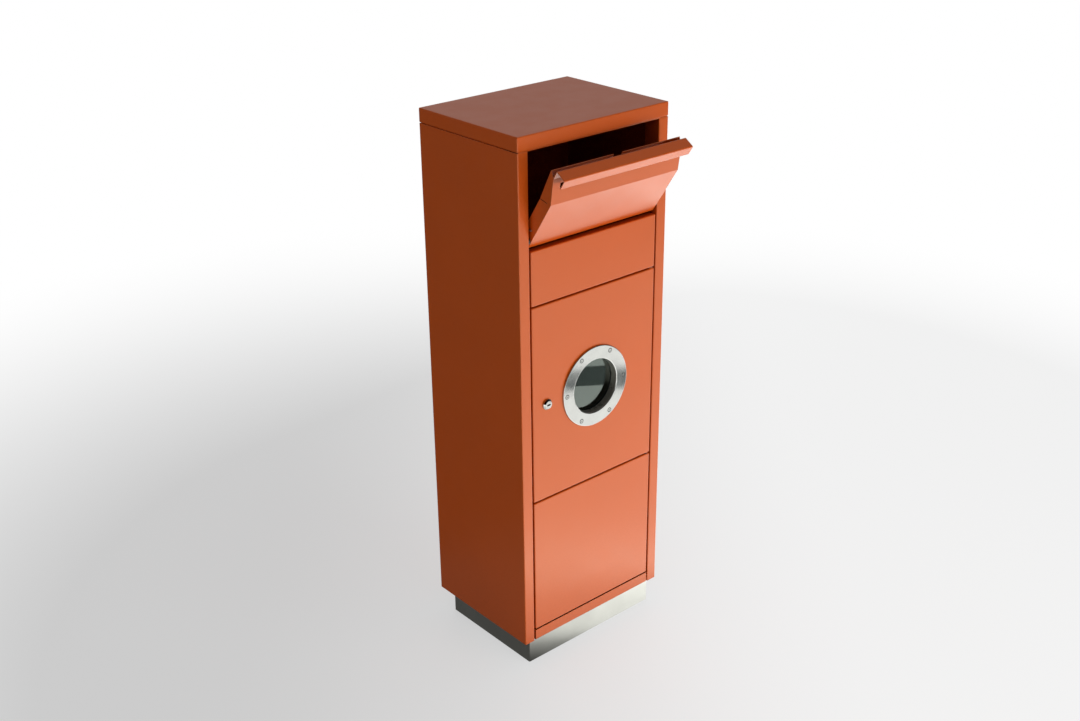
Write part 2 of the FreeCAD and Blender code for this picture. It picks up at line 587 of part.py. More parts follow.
def panel_fixings():
    spacers = new_body("panel_spacers")
    screws = new_body("panel_screws")
    nuts = new_body("panel_nuts")
    rings = [(y, z, "panel_spacer / 2") for y, z in PANEL_SCREWS]
    rings += [(y, z, "panel_screw / 2 + hole_room") for y, z in PANEL_SCREWS]
    heads = [(y, z, "panel_screw_head / 2") for y, z in PANEL_SCREWS]
    shanks = [(y, z, "panel_screw / 2") for y, z in PANEL_SCREWS]
    hexes = [hexagon(y, z, "panel_nut") for y, z in PANEL_SCREWS]
    hexes += [(y, z, "panel_screw / 2 + running") for y, z in PANEL_SCREWS]
    flange = f"({PANEL} - sheet)"
    both_sides(spacers, PANEL, OPENING, rings)
    both_sides(screws, f"({flange} - panel_screw_head_height)", flange, heads)
    both_sides(screws, flange, f"({RETURN_BACK} + panel_screw_end)", shanks)
    both_sides(nuts, RETURN_BACK, f"({RETURN_BACK} + panel_nut_height)", hexes)


def both_sides(body, low, high, shapes):
    """The same shapes on the right and, mirrored, on the left."""
    extrude(body, "YZ_Plane", low, high, shapes)
    extrude(body, "YZ_Plane", f"-{high}", f"-{low}", shapes)


def door_panel():
    body = pan("door_panel", DOOR_BOTTOM, DOOR_TOP)
    holes = [("0", DOOR_MIDDLE, "porthole_clear / 2 + porthole_wall + fit")]
    holes.append((LOCK_X, DOOR_MIDDLE, "lock_barrel_size / 2 + hole_room"))
    for index in range(round(value("porthole_screw_count"))):
        turn = f"({index} * 360 deg / porthole_screw_count)"
        x = f"porthole_screw_circle / 2 * cos({turn})"
        z = f"{DOOR_MIDDLE} + porthole_screw_circle / 2 * sin({turn})"
        holes.append((x, z, "porthole_screw / 2 + hole_room"))
    punch(body, "XZ_Plane", FRONT, f"{FRONT} + sheet", holes)
    pin = [(DOOR_AXIS_X, DOOR_AXIS_Y, "door_pin / 2 + running")]
    punch(body, "XY_Plane", DOOR_BOTTOM, f"{DOOR_BOTTOM} + sheet", pin)
    punch(body, "XY_Plane", f"{DOOR_TOP} - sheet", DOOR_TOP, pin)


def door_pivot(name, level, turn):
    """A pin riveted into the door's flange that turns in a bush; its own Z axis points into the door."""
    pin = new_body(f"door_pivot_{name}", (DOOR_AXIS_X, DOOR_AXIS_Y, level), turn)
    end = "(-door_gap - bush_length)"
    collar = "(-door_gap + bush_wall + fit)"
    profile = [("0", end), ("door_pin / 2", end), ("door_pin / 2", collar), ("door_pin_collar / 2", collar)]
    profile += [("door_pin_collar / 2", "0"), ("door_pin / 2", "0"), ("door_pin / 2", "sheet")]
    profile += [("door_pin_head / 2", "sheet"), ("door_pin_head / 2", "sheet + door_pin_head_height")]
    profile += [("0", "sheet + door_pin_head_height")]
    revolve(pin, profile)
    bush = new_body(f"pivot_bush_{name}", (DOOR_AXIS_X, DOOR_AXIS_Y, level), turn)
    bore = "door_pin / 2 + running"
    barrel = "door_pin / 2 + bush_wall"
    profile = [(bore, "-door_gap - bush_length"), (barrel, "-door_gap - bush_length"), (barrel, "-door_gap")]
    profile += [("bush_flange / 2", "-door_gap"), ("bush_flange / 2", "-door_gap + bush_wall")]
    profile += [(bore, "-door_gap + bush_wall")]
    revolve(bush, profile)


def door_stops():
    leg_back = f"({FLANGE_BACK} + door_stop_room)"
    jamb = f"-{OPENING}"
    reach = f"-{OPENING} + side_gap + door_stop_reach"
    buffer_x = f"(-{PANEL} + door_stop_reach / 2)"
    levels = {
        "lower": f"({DOOR_BOTTOM} + door_stop_margin)",
        "upper": f"({DOOR_TOP} - door_stop_margin - door_stop_height)",
    }
    places = [(buffer_x, f"{level} + door_stop_height / 2") for level in levels.values()]
    for name, level in levels.items():
        body = new_body(f"door_stop_{name}")
        angle = [(jamb, leg_back), (reach, leg_back), (reach, f"{leg_back} + sheet")]
        angle += [(f"{jamb} + sheet", f"{leg_back} + sheet"), (f"{jamb} + sheet", f"{leg_back} + door_stop_leg")]
        angle += [(jamb, f"{leg_back} + door_stop_leg")]
        extrude(body, "XY_Plane", level, f"{level} + door_stop_height", [angle])
        round_edges(body, edges_along(body, "z", angle[:1]), BEND)
        round_edges(body, edges_along(body, "z", angle[3:4]), "bend_inside")
        hole = [(buffer_x, f"{level} + door_stop_height / 2", "buffer_neck / 2 + running")]
        punch(body, "XZ_Plane", leg_back, f"{leg_back} + sheet", hole)
    buffers = new_body("door_buffers")
    barb = f"{leg_back} + sheet"
    extrude(buffers, "XZ_Plane", f"{FLANGE_BACK} + fit", leg_back, [(x, z, "buffer / 2") for x, z in places])
    extrude(buffers, "XZ_Plane", leg_back, barb, [(x, z, "buffer_neck / 2") for x, z in places])
    extrude(buffers, "XZ_Plane", barb, f"{barb} + buffer_head_height", [(x, z, "buffer_head / 2") for x, z in places])


def rims_at(body, level, radius):
    """Names of the round edges of a radius at a level along the body's own Z axis."""
    return [
        f"Edge{number}"
        for number, edge in enumerate(body.Tip.Shape.Edges, start=1)
        if edge.Curve.TypeId == "Part::GeomCircle"
        and abs(edge.Curve.Radius - value(radius)) < NEAR
        and abs(edge.Curve.Center.z - value(level)) < NEAR
    ]


def porthole():
    centre = ("0", FRONT, DOOR_MIDDLE)
    clear = "(porthole_clear / 2)"
    outer = "(porthole_outer / 2)"
    spigot = f"({clear} + porthole_wall)"
    glass = f"({clear} + glass_lap)"
    cup = f"({glass} + gasket_web + running)"
    glass_front = "(porthole_spigot + gasket_leg)"
    glass_back = f"({glass_front} + glass_gauge)"
    gasket_back = f"({glass_back} + gasket_leg)"
    skin = "(sheet + back_ring_gauge)"

    ring = new_body("porthole_ring", centre, INWARD)
    profile = [(clear, "-porthole_proud"), (outer, "-porthole_proud"), (outer, "0"), (spigot, "0")]
    profile += [(spigot, "porthole_spigot"), (clear, "porthole_spigot")]
    revolve(ring, profile)
    round_edges(ring, rims_at(ring, "-porthole_proud", outer), "porthole_edge")
    round_edges(ring, rims_at(ring, "-porthole_proud", clear), "porthole_lip")
    seat = "(counterbore - porthole_proud)"
    place = ("porthole_screw_circle / 2", "0")
    recess = (*place, "porthole_screw_head / 2 + counterbore_room")
    through = punch(ring, "XY_Plane", "-porthole_proud", "0", [(*place, "porthole_screw / 2 + hole_room")])
    polar_pattern(ring, [through, carve(ring, "XY_Plane", "-porthole_proud - fit", seat, [recess])])

    back_ring = new_body("porthole_back_ring", centre, INWARD)
    profile = [(f"{spigot} + fit", "sheet"), (outer, "sheet"), (outer, skin), (f"{cup} + back_ring_gauge", skin)]
    profile += [(f"{cup} + back_ring_gauge", f"{gasket_back} + back_ring_gauge")]
    profile += [(clear, f"{gasket_back} + back_ring_gauge"), (clear, gasket_back), (cup, gasket_back)]
    profile += [(cup, skin), (f"{spigot} + fit", skin)]
    revolve(back_ring, profile)
    hole = [(*place, "porthole_screw / 2 + hole_room")]
    polar_pattern(back_ring, [punch(back_ring, "XY_Plane", "sheet", skin, hole)])

    gasket = new_body("porthole_gasket", centre, INWARD)
    profile = [(clear, "porthole_spigot"), (f"{glass} + gasket_web", "porthole_spigot")]
    profile += [(f"{glass} + gasket_web", gasket_back), (clear, gasket_back), (clear, glass_back)]
    profile += [(glass, glass_back), (glass, glass_front), (clear, glass_front)]
    revolve(gasket, profile)

    pane = new_body("porthole_glass", centre, INWARD)
    revolve(pane, rectangle("0", glass_front, glass, glass_back))

    screws = new_body("porthole_screws", centre, INWARD)
    head = f"({seat} - porthole_screw_head_height)"
    extrude(screws, "XY_Plane", head, seat, [(*place, "porthole_screw_head / 2")])
    round_edges(screws, rims_at(screws, head, "porthole_screw_head / 2"), "porthole_screw_head_height / 3")
    extrude(screws, "XY_Plane", seat, f"{skin} + fit", [(*place, "porthole_screw / 2")])
    carve(screws, "XY_Plane", f"{head} - fit", f"{head} + porthole_socket_depth", [hexagon(*place, "porthole_socket")])
    polar_pattern(screws, [item for item in screws.Group if not item.isDerivedFrom("Sketcher::SketchObject")])


def polar_pattern(body, features):
    pattern = body.newObject("PartDesign::PolarPattern", "pattern")
    pattern.Originals = [item for item in features if item.isDerivedFrom("PartDesign::FeatureAddSub")]
    pattern.Axis = (next(each for each in body.Origin.OriginFeatures if each.Role == "Z_Axis"), "")
    pattern.Angle = 360
    pattern.setExpression("Occurrences", bind("porthole_screw_count"))
    body.Tip = pattern
    doc.recompute()


def lock():
    axis = (LOCK_X, FRONT, DOOR_MIDDLE)
    bore = "lock_plug_size / 2 + running"
    face = "-lock_proud"

    barrel = new_body("lock_barrel", axis, INWARD)
    profile = [(bore, face), ("lock_face / 2", face), ("lock_head / 2", f"{face} + lock_bevel")]
    profile += [("lock_head / 2", "0"), ("lock_barrel_size / 2", "0"), ("lock_barrel_size / 2", BARREL_END)]
    profile += [(bore, BARREL_END)]
    revolve(barrel, profile)

    nut = new_body("lock_nut", axis, INWARD)
    shapes = [hexagon("0", "0", "lock_nut_size"), ("0", "0", "lock_barrel_size / 2 + running")]
    extrude(nut, "XY_Plane", "sheet", "sheet + lock_nut_height", shapes)

    plug = new_body("lock_plug", axis, INWARD)
    half = "cam_square / 2"
    tail = rectangle(f"-{half}", f"-{half}", half, half)
    extrude(plug, "XY_Plane", face, CAM_START, [("0", "0", "lock_plug_size / 2")])
    extrude(plug, "XY_Plane", CAM_START, CAM_END, [tail])
    keyway = rectangle("-keyway_length / 2", "-keyway_width / 2", "keyway_length / 2", "keyway_width / 2")
    carve(plug, "XY_Plane", f"{face} - fit", f"{face} + keyway_depth", [keyway])
    screw_hole = [("0", "0", "cam_screw_size / 2 + running")]
    carve(plug, "XY_Plane", f"{CAM_END} - cam_screw_depth - fit", f"{CAM_END} + fit", screw_hole)

    cam = new_body("lock_cam", axis, INWARD)
    room = f"{half} + running"
    bar = rectangle("-cam_width / 2", "-cam_width / 2", "cam_width / 2", "cam_length")
    square = rectangle(f"-({room})", f"-({room})", room, room)
    extrude(cam, "XY_Plane", CAM_START, CAM_END, [bar, square])
    round_edges(cam, edges_along(cam, "z", bar), "cam_gauge")

    screw = new_body("cam_screw", axis, INWARD)
    profile = [("0", f"{CAM_END} - cam_screw_depth"), ("cam_screw_size / 2", f"{CAM_END} - cam_screw_depth")]
    profile += [("cam_screw_size / 2", CAM_END), ("cam_screw_head / 2", CAM_END)]
    profile += [("cam_screw_head / 2", f"{CAM_END} + cam_screw_head_height")]
    profile += [("0", f"{CAM_END} + cam_screw_head_height")]
    revolve(screw, profile)


def flap_front():
    body = new_flap_body("flap_front")
    lean = f"({FLAP_FRONT} + upper_lean)"
    back = f"({FLAP_FRONT} + sheet)"
    lip = f"({FLAP_FRONT} - lip_proud)"
    under = f"({HANDLE_TOP} - sheet)"
    lip_end = f"({HANDLE_TOP} - lip_height)"
    return_end = f"({FLAP_REAR} - sheet - fit)"
    strip = [(return_end, FLAP_LOW), (FLAP_FRONT, FLAP_LOW), (FLAP_FRONT, KINK), (lean, BAND_TOP)]
    strip += [(lean, under), (f"{lip} + sheet", under), (f"{lip} + sheet", lip_end), (lip, lip_end)]
    strip += [(lip, HANDLE_TOP), (f"{lean} + sheet", HANDLE_TOP), (f"{lean} + sheet", f"{BAND_TOP} - {MITRE}")]
    strip += [(back, f"{KINK} - {MITRE}"), (back, f"{FLAP_LOW} + sheet"), (return_end, f"{FLAP_LOW} + sheet")]
    extrude(body, "YZ_Plane", f"-{PANEL}", PANEL, [strip])
    bottom_out, kink_out, top_in, handle_in, lip_in = strip[1], strip[2], strip[3], strip[4], strip[5]
    lip_out, handle_out, top_out, kink_in, bottom_in = strip[8], strip[9], strip[10], strip[11], strip[12]
    round_edges(body, edges_along(body, "x", [bottom_out]), "roll")
    round_edges(body, edges_along(body, "x", [bottom_in]), "roll - sheet")
    round_edges(body, edges_along(body, "x", [kink_out, top_out, handle_out, lip_out]), BEND)
    round_edges(body, edges_along(body, "x", [kink_in, top_in, handle_in, lip_in]), "bend_inside")
    inside = f"{FLAP_FRONT} + sheet / 2"
    low = f"{FLAP_LOW} + sheet / 2"
    cheek = [(inside, f"{FLAP_LOW} + roll"), (f"{FLAP_FRONT} + roll", low), (FLAP_REAR, low)]
    cheek += [(FLAP_REAR, LINER_BEND), (LINER_REAR, LINER_TOP), (f"{lean} + sheet / 2", BAND_TOP), (inside, KINK)]
    both_sides(body, f"({PANEL} - sheet)", PANEL, [cheek])
    half = "seam_width / 2"
    start = (f"{FLAP_FRONT} + seam_start", f"{KINK} - seam_start_drop")
    end = (f"{FLAP_REAR} + fit", LINER_BEND)
    seam = [(start[0], f"{start[1]} - {half}"), (end[0], f"{end[1]} - {half}")]
    seam += [(end[0], f"{end[1]} + {half}"), (start[0], f"{start[1]} + {half}")]
    holes = [seam, ("0", "0", "flap_pin / 2 + running")]
    holes.append((*RIVET_PLACE, "rivet / 2 + running"))
    punch(body, "YZ_Plane", f"{PANEL} - sheet", PANEL, holes)
    punch(body, "YZ_Plane", f"-{PANEL}", f"-({PANEL} - sheet)", holes)
    slot_end = f"({PANEL} - grip_slot_inset)"
    slot_top = f"{BAND_TOP} - grip_slot_drop"
    slot = rectangle(f"-{slot_end}", f"{slot_top} - grip_slot", slot_end, slot_top)
    punch(body, "XZ_Plane", FLAP_FRONT, f"{lean} + sheet", [slot])


def flap_liner():
    body = new_flap_body("flap_liner")
    side = f"({PANEL} - sheet - fit)"
    front = f"({FLAP_REAR} - sheet)"
    foot = f"{FLAP_LOW} + sheet + fit"
    folded = [(front, foot), (FLAP_REAR, foot), (FLAP_REAR, LINER_BEND), (LINER_REAR, LINER_TOP)]
    folded += [(f"{LINER_REAR} - sheet", LINER_TOP), (front, LINER_BEND)]
    extrude(body, "YZ_Plane", f"-{side}", side, [folded])
    half = "catch_width / 2 + liner_notch_room"
    notch = rectangle(f"-({half})", f"{LINER_TOP} - liner_notch", half, f"{LINER_TOP} + fit")
    punch(body, "XZ_Plane", front, LINER_REAR, [notch])
    middle = RIVET_PLACE[1]
    tab_low = f"{middle} - liner_tab_height / 2"
    tab_high = f"{middle} + liner_tab_height / 2"
    tab = rectangle(f"{FLAP_REAR} - liner_tab", tab_low, f"{FLAP_REAR} - sheet / 2", tab_high)
    both_sides(body, f"({side} - sheet)", side, [tab])
    hole = [(*RIVET_PLACE, "rivet / 2 + running")]
    punch(body, "YZ_Plane", f"{side} - sheet", side, hole)
    punch(body, "YZ_Plane", f"-{side}", f"-({side} - sheet)", hole)


def flap_rivets():
    body = new_flap_body("flap_rivets")
    inner = f"({PANEL} - 2 * sheet - fit)"
    head = (*RIVET_PLACE, "rivet_head / 2")
    both_sides(body, PANEL, f"({PANEL} + rivet_head_height)", [head])
    both_sides(body, inner, PANEL, [(*RIVET_PLACE, "rivet / 2")])
    both_sides(body, f"({inner} - rivet_head_height)", inner, [head])


def flap_pivots():
    washers = new_body("flap_pivot_washers")
    nuts = new_body("flap_pivot_nuts")
    ring = [(SWING_Y, SWING_Z, "flap_washer / 2"), (SWING_Y, SWING_Z, "flap_pin / 2 + running")]
    both_sides(washers, f"({PANEL} + fit)", OPENING, ring)
    hexes = [hexagon(SWING_Y, SWING_Z, "flap_nut"), (SWING_Y, SWING_Z, "flap_pin_thread / 2 + running")]
    both_sides(nuts, RETURN_BACK, f"({RETURN_BACK} + flap_nut_height)", hexes)
    cheek = "(-side_gap - sheet - fit)"
    head = f"{cheek} - flap_pin_head_height"
    profile = [("0", head), ("flap_pin_head / 2", head), ("flap_pin_head / 2", cheek), ("flap_pin / 2", cheek)]
    profile += [("flap_pin / 2", "0"), ("flap_pin_thread / 2", "0")]
    profile += [("flap_pin_thread / 2", "sheet + flap_pin_end"), ("0", "sheet + flap_pin_end")]
    for name, side in (("left", -1), ("right", 1)):
        pin = new_body(f"flap_pivot_{name}", (f"{side} * {OPENING}", SWING_Y, SWING_Z), SIDEWAYS[side])
        revolve(pin, profile)


def flap_stops():
    """Rubber buffers snapped into the jamb returns; their own Z axis points out of the opening."""
    barb = "sheet + buffer_head_height"
    profile = [("0", "-flap_stop_length"), ("flap_stop / 2", "-flap_stop_length"), ("flap_stop / 2", "0")]
    profile += [("buffer_neck / 2", "0"), ("buffer_neck / 2", "sheet"), ("buffer_head / 2", "sheet")]
    profile += [("buffer_neck / 2", barb), ("0", barb)]
    for name, side in (("left", -1), ("right", 1)):
        stop = new_body(f"flap_stop_{name}", (f"{side} * {OPENING}", STOP_Y, STOP_Z), SIDEWAYS[side])
        revolve(stop, profile)


def magnetic_catch():
    low = f"({SHELL_TOP} - catch_height)"
    housing = new_body("catch_housing")
    half = "catch_width / 2"
    block = rectangle(f"-{half}", CATCH_FRONT, half, f"{CATCH_FRONT} + catch_depth")
    holes = [(x, y, "catch_screw / 2 + running") for x, y in CATCH_SCREWS]
    extrude(housing, "XY_Plane", low, SHELL_TOP, [block] + holes)
    poles = new_body("catch_poles")
    middle = f"{SHELL_TOP} - catch_height / 2"
    plates = []
    for side in (-1, 1):
        centre = f"{side} * pole_span / 2"
        plates.append(rectangle(f"{centre} - pole_gauge / 2", f"{middle} - pole_height / 2",
                                f"{centre} + pole_gauge / 2", f"{middle} + pole_height / 2"))
    extrude(poles, "XZ_Plane", f"{CATCH_FRONT} - pole_proud", f"{CATCH_FRONT} + catch_depth / 4", plates)
    carve(housing, "XZ_Plane", f"{CATCH_FRONT} - fit", f"{CATCH_FRONT} + catch_depth / 4", plates)
    screws = new_body("catch_screws")
    heads = [(x, y, "catch_screw_head / 2") for x, y in CATCH_SCREWS]
    shanks = [(x, y, "catch_screw / 2") for x, y in CATCH_SCREWS]
    extrude(screws, "XY_Plane", f"{low} - catch_screw_head_height", low, heads)
    extrude(screws, "XY_Plane", low, CAP_BOTTOM, shanks)


def check():
    doc.recompute()
    for item in doc.Objects:
        if "Invalid" in item.State or "Error" in item.State:
            raise RuntimeError(f"{item.Label} failed: {item.State}")
    for item in parts:
        if item.Shape.isNull() or not item.Shape.isValid():
            raise RuntimeError(f"{item.Label} has no valid shape")


def write():
    os.makedirs("parts", exist_ok=True)
    for item in parts:
        item.Shape.exportStep(f"parts/{item.Label}.step")
        print(f"{item.Label}: {len(item.Shape.Solids)} solids, {item.Shape.Volume:.1f} mm3")


RIVET_PLACE = (f"({FLAP_FRONT} + rivet_inset)", "rivet_rise")
CATCH_FRONT = f"({FRONT} + upper_lean + sheet + catch_room + pole_proud)"
CATCH_SCREWS = [(f"{side} * catch_width * 0.36", f"({CATCH_FRONT} + catch_depth * 0.62)") for side in (-1, 1)]

cabinet_shell()
top_cap()
roof_plate()
cap_screws()
base_tray()
plinth()
plinth_bolts()
plinth_nuts()
fixed_panel("infill_panel", INFILL_BOTTOM, INFILL_TOP, INFILL_SCREWS, INFILL_BOTTOM)
fixed_panel("lower_panel", LOWER_BOTTOM, LOWER_TOP, LOWER_SCREWS, f"({LOWER_TOP} - sheet)")
panel_fixings()
parcel_shelf()
door_panel()
door_pivot("lower", DOOR_BOTTOM, UPWARD)
door_pivot("upper", DOOR_TOP, DOWNWARD)
door_stops()
porthole()
lock()
flap_front()
flap_liner()
flap_rivets()
flap_pivots()
flap_stops()
magnetic_catch()
check()
write()
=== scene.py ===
import json
import math

import bpy
from mathutils import Matrix, Vector

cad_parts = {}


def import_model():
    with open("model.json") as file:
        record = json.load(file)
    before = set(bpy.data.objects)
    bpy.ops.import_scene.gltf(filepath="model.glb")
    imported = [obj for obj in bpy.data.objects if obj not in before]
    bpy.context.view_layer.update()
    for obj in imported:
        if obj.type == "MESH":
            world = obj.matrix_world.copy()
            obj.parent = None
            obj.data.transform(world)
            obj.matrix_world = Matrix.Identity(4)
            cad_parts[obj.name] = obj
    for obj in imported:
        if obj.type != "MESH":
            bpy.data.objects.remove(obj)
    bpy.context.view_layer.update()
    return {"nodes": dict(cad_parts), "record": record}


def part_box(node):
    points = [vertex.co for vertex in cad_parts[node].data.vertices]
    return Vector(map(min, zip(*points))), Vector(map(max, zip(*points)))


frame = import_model()
NODES = frame["nodes"]
SLOT_OF = {part["node"]: part["material_slot"] for part in frame["record"]["subparts"]}

# Linear colours of the part
ORANGE = (0.64, 0.094, 0.005)
# Paler edge colour: real wear and painted highlight
ORANGE_WORN_AND_HIGHLIT = (0.76, 0.25, 0.10)
# Painted shade for deep hollows of the coat
ORANGE_PAINTED_SHADE = (0.12, 0.005, 0.0003)
STAINLESS = (0.62, 0.622, 0.565)
POLISHED = (0.525, 0.53, 0.50)
DULLED = (0.21, 0.195, 0.165)
ZINC = (0.50, 0.51, 0.52)
# Black of rubber, also put into the keyway as painted shade
RUBBER_AND_KEYWAY_SHADE = (0.018, 0.018, 0.019)
RUBBER_PALE = (0.55, 0.46, 0.40)
NYLON = (0.045, 0.042, 0.040)
DARK_PLASTIC = (0.045, 0.03, 0.025)
GLASS_TINT = (0.11, 0.13, 0.12)
GLASS_SHEEN = (0.86, 1.0, 0.88)
COAT_SHEEN = (1.0, 0.99, 0.76)

# Linear colours of floor, room and lamps
WHITE = (1.0, 1.0, 1.0)
FLOOR = (0.80, 0.80, 0.795)
ROOM_TINT = (0.97, 0.985, 1.0)
STRIP_TINT = (0.86, 0.97, 1.0)
KEY_TINT = (1.0, 0.985, 0.96)
BOUNCE_TINT = (1.0, 0.99, 0.97)

# The ring's circle of screw bores, its throat and the lock's keyway, in metres
BORE_COUNT = 6
BORE_CIRCLE = 0.0825
BORE_RADIUS = 0.0044
# Width of the painted shade round each bore
BORE_SHADE_WIDTH = 0.0017
THROAT_RADIUS = 0.0615
THROAT_EDGE = (0.0002, 0.0012)
KEYWAY_LENGTH = 0.0096
KEYWAY_WIDTH = 0.0038

# Directions on the floor: away from the front, and across it to the right
AHEAD = (0.56, -0.83)
RIGHTWARD = (0.76, -0.65)

# How bright mirrors show the floor, against the distance ahead of the cabinet: painted shadow close to
# the cabinet, painted light of a sunlit patch further out
FLOOR_LIGHT = (
    (-0.6, 0.0),
    (-0.4, 0.08),
    (0.03, 0.09),
    (0.05, 0.24),
    (0.08, 0.36),
    (0.13, 1.15),
    (0.30, 1.4),
    (0.40, 3.1),
    (0.6, 1.65),
    (1.0, 1.45),
    (1.7, 1.42),
    (2.6, 0.95),
    (3.3, 0.3),
    (4.4, 0.05),
)

# Places of the colour sockets of a mix
FIRST_COLOUR = 6
SECOND_COLOUR = 7
MIXED_COLOUR = 2


def shade(colour, factor):
    """A colour made darker or paler."""
    return tuple(channel * factor for channel in colour)


class Tree:
    """What a surface or the room looks like, with short ways to join the steps."""

    def __init__(self, owner):
        owner.use_nodes = True
        self.nodes = owner.node_tree.nodes
        self.links = owner.node_tree.links

    def feed(self, socket, value):
        """A socket given another socket's output, a colour or a plain value."""
        if isinstance(value, bpy.types.NodeSocket):
            self.links.new(value, socket)
        elif socket.type == "RGBA":
            socket.default_value = (*value, 1.0)
        else:
            socket.default_value = value

    def add(self, kind, **values):
        """A new step with the sockets that have names of their own."""
        node = self.nodes.new(kind)
        for name, value in values.items():
            self.feed(node.inputs[name.replace("_", " ")], value)
        return node

    def spread(self, value, low, high, start=0.35, end=0.65, smooth=False):
        """A value between start and end mapped to a range."""
        node = self.add(
            "ShaderNodeMapRange",
            Value=value,
            From_Min=start,
            From_Max=end,
            To_Min=low,
            To_Max=high,
        )
        node.interpolation_type = "SMOOTHSTEP" if smooth else "LINEAR"
        return node.outputs["Result"]

    def math(self, operation, first, second=0.0):
        node = self.nodes.new("ShaderNodeMath")
        node.operation = operation
        self.feed(node.inputs[0], first)
        self.feed(node.inputs[1], second)
        return node.outputs["Value"]

    def product(self, first, second):
        return self.math("MULTIPLY", first, second)

    def distance(self, first, second):
        """How far away a place is whose two parts lie square to each other."""
        squares = self.math("ADD", self.product(first, first), self.product(second, second))
        return self.math("SQRT", squares)

    def split(self, vector):
        return self.add("ShaderNodeSeparateXYZ", Vector=vector).outputs

    def rays(self):
        """What kind of ray meets the surface."""
        return self.nodes.new("ShaderNodeLightPath").outputs

    def either(self, share, first, second):
        """One look turned into another by a share."""
        node = self.add("ShaderNodeMixShader", Fac=share)
        self.feed(node.inputs[1], first)
        self.feed(node.inputs[2], second)
        return node.outputs["Shader"]


class Shader(Tree):
    """A material whose textures are laid out in the part's frame, in metres."""

    def __init__(self, name):
        self.material = bpy.data.materials.new(name)
        super().__init__(self.material)
        self.surface = self.nodes["Principled BSDF"]
        self.place = self.nodes.new("ShaderNodeTexCoord").outputs["Object"]

    def set(self, **values):
        """Properties of the surface."""
        for name, value in values.items():
            self.feed(self.surface.inputs[name.replace("_", " ")], value)

    def vector_math(self, operation, first, second):
        node = self.nodes.new("ShaderNodeVectorMath")
        node.operation = operation
        self.feed(node.inputs[0], first)
        self.feed(node.inputs[1], second)
        return node.outputs

    def noise(self, scale, detail, place=None):
        node = self.add("ShaderNodeTexNoise", Scale=scale, Detail=detail, Vector=place or self.place)
        return node.outputs["Fac"]

    def cloud(self, scale, detail):
        """Noise stretched over the whole range from none to full."""
        return self.spread(self.noise(scale, detail), 0.0, 1.0)

    def mix(self, share, first, second):
        """One colour turned into another by a share."""
        node = self.nodes.new("ShaderNodeMix")
        node.data_type = "RGBA"
        self.feed(node.inputs["Factor"], share)
        self.feed(node.inputs[FIRST_COLOUR], first)
        self.feed(node.inputs[SECOND_COLOUR], second)
        return node.outputs[MIXED_COLOUR]

    def profile(self, value, stops):
        """A value turned into levels given at rising places, straight between them."""
        start, end = stops[0][0], stops[-1][0]
        top = max(level for place, level in stops)
        node = self.add("ShaderNodeValToRGB", Fac=self.spread(value, 0.0, 1.0, start, end))
        marks = node.color_ramp.elements
        while len(marks) < len(stops):
            marks.new(1.0)
        for mark, (place, level) in zip(marks, stops):
            mark.position = (place - start) / (end - start)
            mark.color = (*shade(WHITE, level / top), 1.0)
        return self.product(node.outputs["Color"], top)

    def rounded(self, radius):
        """Normals that round an edge off."""
        bevel = self.add("ShaderNodeBevel", Radius=radius)
        bevel.samples = 6
        return bevel.outputs["Normal"]

    def nearness(self, rounded):
        """How near an edge is, by the normals that round it off."""
        flat = self.nodes.new("ShaderNodeNewGeometry").outputs["Normal"]
        likeness = self.vector_math("DOT_PRODUCT", rounded, flat)["Value"]
        return self.spread(likeness, 1.0, 0.0, start=0.80, end=0.99)

    def openness(self, reach):
        """None deep in a hollow, full where a surface lies open."""
        node = self.add("ShaderNodeAmbientOcclusion", Distance=reach)
        node.samples = 4
        return self.spread(node.outputs["AO"], 0.0, 1.0, start=0.05, end=0.38)

    def bump(self, height, strength, distance, normal=None):
        """Fine relief, on top of the rounded edges where there are any."""
        node = self.add("ShaderNodeBump", Height=height, Strength=strength, Distance=distance)
        if normal:
            self.feed(node.inputs["Normal"], normal)
        self.set(Normal=node.outputs["Normal"])


def powder_coat():
    """Satin powder coat: fine orange peel, cloudy tone, thin on the edges and showing wear there. The
    edges are also paler as painted highlight, and deep hollows get painted shade and a dimmed sheen.
    """
    coat = Shader("powder_coat")
    normal = coat.rounded(radius=0.0015)
    cloud = coat.cloud(scale=5.0, detail=3.0)
    tone = coat.mix(cloud, shade(ORANGE, 0.985), shade(ORANGE, 1.015))
    lies_open = coat.openness(reach=0.6)
    outside_joints = coat.openness(reach=0.03)
    # Painted shade: deep hollows are painted a dark orange, but narrow joints are left out of it
    hollow = coat.product(coat.math("SUBTRACT", 1.0, lies_open), outside_joints)
    tone = coat.mix(hollow, tone, ORANGE_PAINTED_SHADE)
    patches = coat.spread(coat.noise(scale=60.0, detail=4.0), 0.2, 0.85, start=0.42, end=0.62)
    # Real wear and painted highlight: edges turn paler in patches
    worn_and_highlit = coat.product(coat.nearness(normal), patches)
    handled = coat.spread(coat.noise(scale=24.0, detail=5.0), 0.31, 0.35)
    peel = coat.noise(scale=750.0, detail=1.5)
    coat.set(Base_Color=coat.mix(worn_and_highlit, tone, ORANGE_WORN_AND_HIGHLIT))
    coat.set(Roughness=handled, IOR=1.5, Specular_Tint=COAT_SHEEN)
    # Painted shade: the sheen is dimmed in deep hollows
    coat.set(Specular_IOR_Level=coat.product(lies_open, 0.88))
    coat.bump(peel, strength=0.10, distance=0.0004, normal=normal)
    return coat.material


